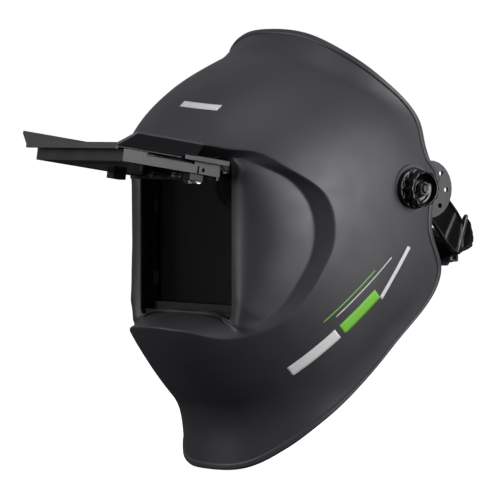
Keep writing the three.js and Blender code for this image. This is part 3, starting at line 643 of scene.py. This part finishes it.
def cut_pivots(shell):
    """The round dish that each clamp sits in, with a shallow ring round it, and the bore for its bolt."""
    skin = shell.data.materials[0]
    floor = [(0, BOSS_IN), (BOSS_R + 0.4, BOSS_IN), (BOSS_R + 0.4, RING_X), (0, RING_X)]
    dish = [(0, BOSS_X), (RING_IN - 0.2, BOSS_X), (RING_IN, RING_X - 0.2), (RING_IN + 0.2, RING_X)]
    dish += [(BOSS_R - 0.5, RING_X), (BOSS_R - 0.1, RING_X + 0.15), (BOSS_R, RING_X + 0.5), (BOSS_R, CUT_OUT)]
    dish += [(0, CUT_OUT)]
    bore = [(0, BORE_START), (BORE_R, BORE_START), (BORE_R, CUT_OUT), (0, CUT_OUT)]
    for side in (1, -1):
        combine(shell, turned("dish_floor", floor, skin, side=side), "UNION")
        combine(shell, turned("dish", dish, skin, side=side), "DIFFERENCE")
        combine(shell, turned("bore", bore, skin, sides=48, side=side), "DIFFERENCE")
    soften(shell, 40)


def make_shell(kit):
    half, plain = shell_rings()
    rings = close_round(half)
    normals = grid_normals(rings)
    outer = rings.copy()
    bead_rings = len(rings) - plain
    for k in range(bead_rings):
        t = (k + 1) / bead_rings
        outer[plain + k] += normals[plain + k] * BEAD * math.sqrt(max(0, 1 - (2 * min(t, 0.5) - 1) ** 2))
    inner = rings - normals * WALL
    # the rim's rounded edge
    tip = (outer[-1] + inner[-1]) / 2 + unit(rings[-1] - rings[-2]) * 1.5
    stack = [outer[i] for i in range(len(outer))]
    for t in (0.3, 0.5, 0.7):
        stack.append((1 - t) ** 2 * outer[-1] + 2 * t * (1 - t) * (2 * tip - (outer[-1] + inner[-1]) / 2)
                     + t * t * inner[-1])
    stack += [inner[i] for i in range(len(inner) - 1, -1, -1)]
    # the window edge: slightly rounded return
    a, b = inner[0], outer[0]
    for t in (0.08, 0.5, 0.92):
        stack.append(a + (b - a) * t)
    count = len(stack)
    around = stack[0].shape[0]
    points = np.concatenate(stack)
    faces = []
    for j in range(count):
        k = (j + 1) % count
        for i in range(around):
            n = (i + 1) % around
            faces.append((j * around + i, k * around + i, k * around + n, j * around + n))
    shell = add_mesh("shell_body", points, faces, kit["shell_plastic"])
    shell.data.materials.append(kit["shell_inside"])
    first_inside = (len(outer) + 3) * around
    last_inside = (count - 4) * around
    inside = [first_inside <= k < last_inside for k in range(len(faces))]
    shell.data.polygons.foreach_set("material_index", [int(flag) for flag in inside])
    cut_pivots(shell)
    return settle(shell, "shell", "shell_plastic", "helmet_shell")


# ---------------------------------------------------------------- clamps at the temples
KNOB_IN = 115.7
FLANGE_R = 16
FLANGE_X = 119.4
CROWN_R = 13.7
CROWN_X = 130.5
CUP_R = 11.8
CUP_FLOOR = 120.6
LOBES = 12
NUT_FLATS = 10


def lobed(angle, radius, x):
    """Finger scallops round the crown: ribs with wider hollows between, deepest near the flange."""
    if radius < CUP_R + 0.5 or radius > FLANGE_R - 0.8:
        return 1
    hollow = (0.5 - 0.5 * math.cos(LOBES * angle)) ** 0.7
    depth = 1.1 + 0.7 * max(0, min(1, (CROWN_X - 2 - x) / 6))
    return 1 + (0.5 - depth * hollow) / radius


def arc(radius, x, size, start, end, steps=4):
    """Points of a rounded corner of the profile, centred on (radius, x)."""
    angles = np.linspace(start, end, steps + 1) * RAD
    return [(radius + size * math.cos(a), x + size * math.sin(a)) for a in angles]


def make_knob(kit, name, side):
    body = [(3.4, KNOB_IN), (FLANGE_R - 0.5, KNOB_IN)]
    body += arc(FLANGE_R - 0.5, KNOB_IN + 0.5, 0.5, -90, 0, 3)
    body += arc(FLANGE_R - 0.9, FLANGE_X - 0.9, 0.9, 0, 90)
    body += [(CROWN_R + 0.7, FLANGE_X + 0.05), (CROWN_R + 0.25, FLANGE_X + 0.3), (CROWN_R, FLANGE_X + 0.9)]
    body += [(CROWN_R, x) for x in np.linspace(FLANGE_X + 2, CROWN_X - 2, 7)]
    body += arc(CROWN_R - 0.35, CROWN_X - 0.35, 0.35, 0, 90, 3)
    body += arc(CUP_R + 0.3, CROWN_X - 0.3, 0.3, 90, 180, 3)
    body += [(CUP_R, CUP_FLOOR + 3), (CUP_R - 1.2, CUP_FLOOR + 2.6), (CUP_R - 1.3, CUP_FLOOR + 0.4)]
    body += [(CUP_R - 2, CUP_FLOOR), (3.4, CUP_FLOOR)]
    knob = turned(name, body, kit["gloss_plastic"], sides=LOBES * 20, wave=lobed, side=side)
    return knob


def make_nut(kit, name, side):
    """Flanged hexagon nut with chamfered corners."""
    sides = 96
    across = NUT_FLATS / 2

    def hexagon(angle, radius, x):
        if radius < 3.6:
            return 1
        turn = (angle + math.pi / 6) % (math.pi / 3) - math.pi / 6
        reach = across / math.cos(turn)
        chamfer = across * 1.06
        limit = chamfer + (across * 1.16 - chamfer) * min(1, (130.3 - x) / 0.8)
        return min(reach, limit) / radius * (radius / across)
    rings = [(3.3, 126.3), (across, 126.3), (across, 127.6), (across, 129.5), (across, 130.05),
             (across * 0.97, 130.3), (3.9, 130.3), (3.3, 129.9)]
    return turned(name, rings, kit["dark_steel"], sides=sides, wave=hexagon, side=side)


def make_clamps(kit):
    for side, tail in ((1, "left"), (-1, "right")):
        knob = make_knob(kit, "clamp_grip_" + tail, side)
        settle(knob, "knob_" + tail, "gloss_plastic", "clamp_knob_" + tail)
        collar = [(3.4, 121.3), (7.4, 121.3)] + arc(7, 123, 0.4, 0, 90, 3) + [(6.2, 123.4)]
        collar += arc(5.9, 124.6, 0.3, 0, 90, 2) + [(5.2, 124.9), (5.2, 126), (3.4, 126)]
        sleeve = turned("clamp_collar_" + tail, collar, kit["gloss_plastic"], side=side)
        settle(sleeve, "headgear", "gloss_plastic", "spring_collar_" + tail)
        nut = make_nut(kit, "clamp_nut_" + tail, side)
        settle(nut, "headgear", "satin_plastic", "pivot_nut_" + tail)
        shank = [(0, 95.1), (7.4, 95.1)] + arc(7.4, 95.7, 0.6, -90, 0, 3) + [(8, 98.2), (3, 98.2)]
        for k in range(30):
            shank += [(3, 99 + k), (2.72, 99.5 + k)]
        shank += [(3, 129.6), (3, 130.9), (2.6, 131.4), (1.6, 131.4), (1.3, 131), (0, 131)]
        bolt = turned("clamp_bolt_" + tail, shank, kit["dark_steel"], sides=48, side=side)
        settle(bolt, "headgear", "steel", "pivot_bolt_" + tail)
        for name, inner, outer, low, high, slot, node in (
                ("clamp_washer_", 3.4, 13.5, 114.6, 115.4, "rubber", "friction_washer_"),
                ("clamp_spacer_", 3.4, 9, 101.3, 110.2, "black_plastic", "pivot_spacer_")):
            ring = [(inner, low), (outer, low), (outer, high), (inner, high)]
            piece = turned(name + tail, ring, kit[slot], side=side)
            settle(piece, "headgear", slot, node + tail)


# ---------------------------------------------------------------- straps and bands
BAND_HALF = 83.5
BAND_FRONT = 89
CROWN_HALF = 81
STRAP_THICK = 2.2
CRADLE_THICK = 2.6
# Rows of middle point, how far the upward edge leans back, and width, as in the CAD.
NECK_STRAP = [
    (95.4, 30, -4, 0.62, 20), (95.5, 38.5, -11.5, 0.62, 25), (95.2, 46.8, -20.5, 0.6, 26),
    (92.7, 57, -29.5, 0.5, 27), (88.2, 66.3, -36, 0.42, 27), (83.4, 75, -40, 0.38, 26.5),
    (82, 80.3, -38.8, 0.34, 25.5)]
CRADLE = [
    (80, 81.5, -39.5, 0.3, 31), (76.5, 90, -40.5, 0.3, 22), (69.5, 100.5, -43, 0.1, 13),
    (57, 108.5, -46, 0.1, 12), (38, 113, -49.8, 0.1, 13), (19, 115.3, -52.4, 0.1, 20),
    (0, 116, -53.5, 0.05, 26)]
SLOT_BAR = [(81.6, 85, -24.2), (81.6, 75.2, -53.2)]
BAR_R = 1.9
RATCHET_Z = -52
HOUSING_IN = 116.6
HOUSING_OUT = 126.5


def spline(rows, count):
    """Evenly spaced rows on a smooth curve through the given ones."""
    rows = np.asarray(rows, float)
    steps = np.linalg.norm(np.diff(rows[:, :3], axis=0), axis=1)
    knots = np.concatenate([[0], np.cumsum(steps)])
    at = np.linspace(0, knots[-1], count)
    return np.stack([smooth(knots, column, at) for column in rows.T], 1)


def mirrored_rows(rows):
    """Adds the other half of a band whose last row is on the mid-plane."""
    other = rows[:-1][::-1] * np.array([-1, 1, 1, 1, 1])
    return np.concatenate([rows, other])


def frame_along(rows):
    """Middle points with the across and inward directions of a band at each row."""
    lean = rows[:, 3]
    up = np.stack([np.zeros_like(lean), lean, np.sqrt(1 - lean ** 2)], 1)
    travel = unit(np.gradient(rows[:, :3], axis=0))
    across = unit(up - travel * (up * travel).sum(1, keepdims=True))
    return rows[:, :3], across, np.cross(across, travel)


def ribbon(name, rows, section, material, side=1):
    """A band: section(width) gives its closed outline of (across, inward) points at each row."""
    at, across, inward = frame_along(rows)
    points = []
    for i, width in enumerate(rows[:, 4]):
        points += [(at[i] + across[i] * a + inward[i] * n) * (side, 1, 1) for a, n in section(width)]
    size = len(points) // len(rows)
    faces = [tuple(range(size)), tuple(len(points) - 1 - k for k in range(size))]
    for i in range(len(rows) - 1):
        for k in range(size):
            n = (k + 1) % size
            faces.append((i * size + k, i * size + n, (i + 1) * size + n, (i + 1) * size + k))
    piece = add_mesh(name, points, faces, material)
    tidy_normals(piece)
    soften(piece)
    return piece


def ribbed(thick, rib_width, rib_height):
    """Outline of a strap with a raised rib along both edges of its outward face."""
    t = thick / 2

    def section(width):
        w = width / 2
        edge = [(w - 0.5, t), (w - 0.1, t - 0.1), (w, t - 0.5), (w, -t - rib_height + 0.5),
                (w - 0.15, -t - rib_height + 0.12), (w - 0.6, -t - rib_height),
                (w - rib_width + 0.5, -t - rib_height), (w - rib_width, -t - rib_height + 0.3),
                (w - rib_width - 0.3, -t), (w - rib_width - 1.5, -t)]
        return edge + [(-a, n) for a, n in edge[::-1]]
    return section


def rounded(low, high, corner, steps=5):
    """Outline of a band from `low` to `high` along the inward direction, with round edges."""
    def section(width):
        w = width / 2
        outline = []
        for across, inward, start in ((w, high, 0), (-w, high, 90), (-w, low, 180), (w, low, 270)):
            for angle in np.linspace(start, start + 90, steps) * RAD:
                outline.append((across - math.copysign(corner, across) + corner * math.cos(angle),
                                inward - math.copysign(corner, inward - (low + high) / 2)
                                + corner * math.sin(angle)))
        return outline
    return section


def rod(name, start, end, radius, material, sides=20):
    """A straight round bar with domed ends."""
    start, end = np.array(start, float), np.array(end, float)
    along = unit(end - start)
    one = unit(np.cross(along, [1, 0, 0]))
    two = np.cross(along, one)
    points = []
    rows = [(-90, start), (-60, start), (-30, start), (0, start), (0, end), (30, end), (60, end), (90, end)]
    for angle, place in rows:
        r = max(0.02, radius * math.cos(angle * RAD))
        middle = place + along * radius * math.sin(angle * RAD)
        for turn in np.linspace(0, 2 * math.pi, sides, endpoint=False):
            points.append(middle + one * r * math.cos(turn) + two * r * math.sin(turn))
    faces = [tuple(range(sides)), tuple(len(points) - 1 - k for k in range(sides))]
    for i in range(len(rows) - 1):
        for k in range(sides):
            n = (k + 1) % sides
            faces.append((i * sides + k, i * sides + n, (i + 1) * sides + n, (i + 1) * sides + k))
    piece = add_mesh(name, points, faces, material)
    tidy_normals(piece)
    return piece


def make_neck_straps(kit):
    for side, tail in ((1, "left"), (-1, "right")):
        rows = spline(NECK_STRAP, 60)
        strap = ribbon("strap_" + tail, rows, ribbed(STRAP_THICK, 2.4, 0.7), kit["gloss_plastic"], side)
        hub = [(0, 94.5), (7.5, 94.5), (7.5, 97.6)] + arc(6.9, 97.6, 0.6, 0, 90, 3)
        hub += [(4, 98.2), (4, 100.4), (3.6, 100.8), (0, 100.8)]
        pivot = turned("strap_hub", hub, kit["gloss_plastic"], side=side)
        pivot.data.transform(Matrix.Translation((0, 30 * MM, -1 * MM)))
        combine(strap, pivot, "UNION")
        soften(strap)
        settle(strap, "neck", "gloss_plastic", "neck_strap_" + tail)


def make_cradle(kit):
    rows = mirrored_rows(spline(CRADLE, 50))
    section = rounded(-CRADLE_THICK / 2, CRADLE_THICK / 2, 0.9)
    cradle = ribbon("cradle_band", rows, section, kit["satin_plastic"])
    profile = [(0, HOUSING_IN), (15.9, HOUSING_IN), (16.5, HOUSING_IN + 0.6), (16.5, HOUSING_OUT - 1.6)]
    profile += [(15.9, HOUSING_OUT - 0.5), (14.9, HOUSING_OUT), (0, HOUSING_OUT)]
    combine(cradle, turned_back("housing", profile, RATCHET_Z, kit["satin_plastic"]), "UNION")
    guide = block("guide", (-26, HOUSING_IN, RATCHET_Z - 11.5), (26, HOUSING_OUT, RATCHET_Z + 11.5),
                  kit["satin_plastic"], 1.4)
    combine(cradle, guide, "UNION")
    slot = block("slot", (-30, 119.4, RATCHET_Z - 9.8), (30, 124.2, RATCHET_Z + 9.8),
                 kit["satin_plastic"], 0.3)
    combine(cradle, slot, "DIFFERENCE")
    bore = turned_back("bore", [(0, 123), (3.2, 123), (3.2, 128), (0, 128)], RATCHET_Z,
                       kit["satin_plastic"], 40)
    combine(cradle, bore, "DIFFERENCE")
    soften(cradle)
    settle(cradle, "neck", "satin_plastic", "rear_cradle")
    for side, tail in ((1, "left"), (-1, "right")):
        ends = [(x * side, y, z) for x, y, z in SLOT_BAR]
        settle(rod("slot_bar_" + tail, *ends, BAR_R, kit["gloss_plastic"]), "neck", "gloss_plastic")


FLUTES = 14


def fluted(angle, radius, y):
    """Finger flutes round the ratchet knob."""
    if radius < 13:
        return 1
    return 1 - 0.1 * (0.5 - 0.5 * math.cos(FLUTES * angle)) ** 0.8


def make_ratchet_knob(kit):
    profile = [(0, 124.3), (2.8, 124.3), (2.8, 126.9), (15.2, 126.9), (16, 127.6)]
    profile += [(16, y) for y in np.linspace(128.4, 132.6, 5)] + arc(14.8, 133.2, 1.2, 0, 90)
    profile += [(12.6, 134.4), (11.8, 133.9), (11.2, 132.8), (6, 132.4), (0, 132.3)]
    knob = turned_back("ratchet_grip", profile, RATCHET_Z, kit["satin_plastic"], 168, fluted)
    settle(knob, "ratchet", "satin_plastic", "ratchet_knob")


def band_rows(start, end, count, width):
    a = np.linspace(start, end, count) * RAD
    z = 20 + 26 * (np.cos(a) + 0.25) / 1.25
    return np.stack([BAND_HALF * np.sin(a), 2 - BAND_FRONT * np.cos(a), z,
                     np.full(count, 0.2425), np.full(count, width)], 1)


def round_ends(rows, reach=0.5):
    """Narrows a band to a rounded tip at both ends."""
    rows = rows.copy()
    steps = np.linalg.norm(np.diff(rows[:, :3], axis=0), axis=1)
    along = np.concatenate([[0], np.cumsum(steps)])
    from_end = np.minimum(along, along[-1] - along)
    span = rows[:, 4] * reach
    t = np.clip(from_end / span, 0.02, 1)
    rows[:, 4] *= 0.35 + 0.65 * np.sqrt(1 - (1 - t) ** 2)
    return rows


def make_head_band(kit):
    rows = band_rows(-104, 104, 200, 26)
    band = ribbon("band_strap", rows, ribbed(STRAP_THICK, 2.2, 0.5), kit["black_plastic"])
    for side in (1, -1):
        xs = sorted((83.4 * side, 98.2 * side))
        lug = block("lug", (xs[0], 12, 8), (xs[1], 26, 19), kit["black_plastic"], 1)
        combine(band, lug, "UNION")
    soften(band)
    settle(band, "headgear", "black_plastic", "head_band")


def make_crown_straps(kit):
    for side, tail, rise in ((1, "left", 78), (-1, "right", 80.2)):
        b = np.linspace(0, 99, 70) * RAD
        rows = np.stack([CROWN_HALF * np.cos(b), np.full(70, 4.0), 30 + rise * np.sin(b),
                         np.full(70, -1.0), np.full(70, 18.0)], 1)
        strap = ribbon("crown_" + tail, round_ends(rows), ribbed(1.6, 1.8, 0.4), kit["black_plastic"], side)
        settle(strap, "headgear", "black_plastic", "crown_strap_" + tail)


# ---------------------------------------------------------------- padding
PAD_VOXEL = 2.6
PAD_FRAMES = 20
PAD_PRESSURE = 4
PAD_SWELL = 1.2
STITCH_SIDES = 8
STITCH_SHAPE = ((-0.95, 0.1), (-0.6, 0.34), (0, 0.42), (0.6, 0.34), (0.95, 0.1))  # place, radius


def points_of(piece):
    flat = np.empty(len(piece.data.vertices) * 3)
    piece.data.vertices.foreach_get("co", flat)
    return flat.reshape(-1, 3) / MM


def set_points(piece, points):
    piece.data.vertices.foreach_set("co", (points * MM).ravel())
    piece.data.update()


def puffed(piece, swell):
    """Fills a closed pad by cloth simulation under pressure; no point moves more than `swell` mm."""
    remesh = piece.modifiers.new("remesh", "REMESH")
    remesh.mode = "VOXEL"
    remesh.voxel_size = PAD_VOXEL * MM
    apply_modifiers(piece)
    rest = points_of(piece)
    cloth = piece.modifiers.new("cloth", "CLOTH")
    cloth.settings.use_pressure = True
    cloth.settings.uniform_pressure_force = PAD_PRESSURE
    cloth.settings.effector_weights.gravity = 0
    scene = bpy.context.scene
    for step in range(1, PAD_FRAMES + 1):
        scene.frame_set(step)
    apply_modifiers(piece)
    move = points_of(piece) - rest
    move -= move.mean(0)
    length = np.linalg.norm(move, axis=1, keepdims=True)
    set_points(piece, rest + move * np.minimum(1, swell / np.maximum(length, 1e-6)))
    scene.frame_set(1)
    finer = piece.modifiers.new("finer", "SUBSURF")
    finer.levels = 1
    apply_modifiers(piece)
    soften(piece, 80)


def sew(piece, rows, pitch, hem):
    """Sewn channels across a pad every `pitch` mm and a stitched line `hem` mm in from its edges."""
    at, across, inward = frame_along(rows)
    steps = np.linalg.norm(np.diff(at, axis=0), axis=1)
    along = np.concatenate([[0], np.cumsum(steps)])
    points = points_of(piece)
    nearest = ((points[:, None] - at[None]) ** 2).sum(2).argmin(1)
    offset = points - at[nearest]
    travel = np.cross(inward, across)[nearest]
    place = along[nearest] - along[-1] / 2 + (offset * -travel).sum(1)
    beside = np.abs((offset * across[nearest]).sum(1))
    channel = np.abs((place + pitch / 2) % pitch - pitch / 2)
    line = np.abs(beside - (rows[nearest, 4] / 2 - hem))
    sink = np.maximum(0.9 * np.exp(-(channel / 1.3) ** 2), 0.9 * np.exp(-(line / 1.1) ** 2))
    normals = np.empty(len(points) * 3)
    piece.data.vertices.foreach_get("normal", normals)
    set_points(piece, points - normals.reshape(-1, 3) * sink[:, None])


def stitches(name, pad, rows, hem, pitch, kit):
    """Rows of stitch dashes lying on a pad's outward face, along both its edges; their light grey is painted
    highlight standing in for glints on the stitching.
    """
    surface = BVHTree.FromObject(pad, bpy.context.evaluated_depsgraph_get())
    at, across, inward = frame_along(rows)
    steps = np.linalg.norm(np.diff(at, axis=0), axis=1)
    along = np.concatenate([[0], np.cumsum(steps)])
    points, faces = [], []
    for edge in (1, -1):
        for place in np.arange(pitch, along[-1] - pitch, pitch):
            i = int(np.searchsorted(along, place))
            reach = edge * (rows[i, 4] / 2 - hem)
            outside = at[i] + across[i] * reach - inward[i] * 20
            hit = surface.ray_cast(Vector(outside * MM), Vector(inward[i]))[0]
            if hit is None:
                continue
            middle = np.array(hit) / MM
            travel = np.cross(inward[i], across[i])
            base = len(points)
            for along_it, size in STITCH_SHAPE:
                for turn in np.linspace(0, 2 * math.pi, STITCH_SIDES, endpoint=False):
                    points.append(middle + travel * along_it
                                  + (across[i] * math.cos(turn) + inward[i] * math.sin(turn)) * size)
            for ring in range(len(STITCH_SHAPE) - 1):
                low = base + ring * STITCH_SIDES
                high = low + STITCH_SIDES
                for k in range(STITCH_SIDES):
                    n = (k + 1) % STITCH_SIDES
                    faces.append((low + k, low + n, high + n, high + k))
            last = len(points) - 1
            faces.append(tuple(base + k for k in range(STITCH_SIDES)))
            faces.append(tuple(last - k for k in range(STITCH_SIDES)))
    piece = add_mesh(name, points, faces, kit["thread_painted_glint"])
    tidy_normals(piece)
    return piece


def make_pads(kit):
    rows = round_ends(band_rows(-62, 62, 90, 29), 0.3)
    brow = ribbon("brow_cushion", rows, rounded(2.6, 6.6, 1.6), kit["pad_fabric"])
    puffed(brow, PAD_SWELL)
    sew(brow, rows, 24, 4)
    settle(brow, "headgear", "pad_fabric", "sweat_pad")
    rows = mirrored_rows(spline([(80.4, 85, -39.3, 0.32, 29)] + CRADLE[1:], 70))
    rows[:, 4] += 1
    nape = ribbon("nape_cushion", rows, rounded(-2.4, 6.2, 1.8), kit["pad_fabric"])
    puffed(nape, PAD_SWELL)
    sew(nape, rows, 30, 3.2)
    settle(nape, "neck", "pad_fabric", "neck_pad")
    settle(stitches("nape_stitching", nape, rows, 2.8, 3.4, kit), "neck", "pad_fabric")


# ---------------------------------------------------------------- plain printed stripes
# name, start and end as (y, z) on the cheek, width, finish
CHEEK_STRIPES = [
    ("bar_low", (-97, -143), (-66, -113), 9, "print_white"),
    ("bar_mid", (-63, -110), (-34, -82), 9, "print_green"),
    ("bar_high", (-30, -86), (-4, -46), 3.4, "print_white"),
    ("line_one", (-80, -104), (-38, -64), 0.9, "print_green"),
    ("line_two", (-70, -100), (-22, -54), 0.9, "print_white"),
]
BROW_STRIPE = ((4, 67), (44, 63.5), 4.2)


def stripe(name, surface, start, end, width, aim, kit, finish):
    """A thin print that follows the shell, thrown onto it along `aim`."""
    aim = Vector(aim)
    start, end = Vector(start), Vector(end)
    across = (end - start).normalized().cross(aim)
    long, wide = 30, 4
    points = []
    for i in range(long + 1):
        for j in range(wide + 1):
            place = start.lerp(end, i / long) + across * width * (j / wide - 0.5)
            hit, normal = surface.ray_cast((place - aim * 300) * MM, aim)[:2]
            points.append(hit / MM + normal * 0.06)
    faces = []
    for i in range(long):
        for j in range(wide):
            a = i * (wide + 1) + j
            faces.append((a, a + wide + 1, a + wide + 2, a + 1))
    piece = add_mesh(name, points, faces, kit[finish])
    body = piece.modifiers.new("body", "SOLIDIFY")
    body.thickness = 0.14 * MM
    body.offset = 0
    apply_modifiers(piece)
    tidy_normals(piece)
    settle(piece, "shell", "satin_plastic")


def make_stripes(kit, shell):
    surface = BVHTree.FromObject(shell, bpy.context.evaluated_depsgraph_get())
    for side, tail in ((1, "left"), (-1, "right")):
        for name, (y0, z0), (y1, z1), width, finish in CHEEK_STRIPES:
            stripe(f"{name}_{tail}", surface, (0, y0, z0), (0, y1, z1), width, (-side, 0, 0), kit, finish)
    (x0, z0), (x1, z1), width = BROW_STRIPE
    stripe("bar_brow", surface, (x0, 0, z0), (x1, 0, z1), width, (0, 1, 0), kit, "print_white")


# ---------------------------------------------------------------- CAD nodes that stay
EDGE_RADIUS = 0.35
OWN_FINISH = {"cartridge_tray": "tray_plastic", "electronics_cover": "tray_plastic",
              "battery_cover": "tray_plastic"}


def dress_nodes(kit):
    """Gives every CAD node its own slot's material, or its own finish, and softened edges."""
    for row in frame["record"]["subparts"]:
        node = NODES[row["node"]]
        node.data.materials.clear()
        node.data.materials.append(kit[OWN_FINISH.get(row["node"], row["material_slot"])])
        edge = node.modifiers.new("edge", "BEVEL")
        edge.width = EDGE_RADIUS * MM
        edge.segments = 2
        edge.limit_method = "ANGLE"
        edge.angle_limit = 40 * RAD
        edge.harden_normals = True
        node.data.polygons.foreach_set("use_smooth", [True] * len(node.data.polygons))
        node.data.set_sharp_from_angle(angle=40 * RAD)


make_camera()
make_world()
make_lights()
make_floor()
KIT = make_materials()
SHELL = make_shell(KIT)
make_stripes(KIT, SHELL)
make_clamps(KIT)
make_neck_straps(KIT)
make_cradle(KIT)
make_ratchet_knob(KIT)
make_head_band(KIT)
make_crown_straps(KIT)
make_pads(KIT)
dress_nodes(KIT)
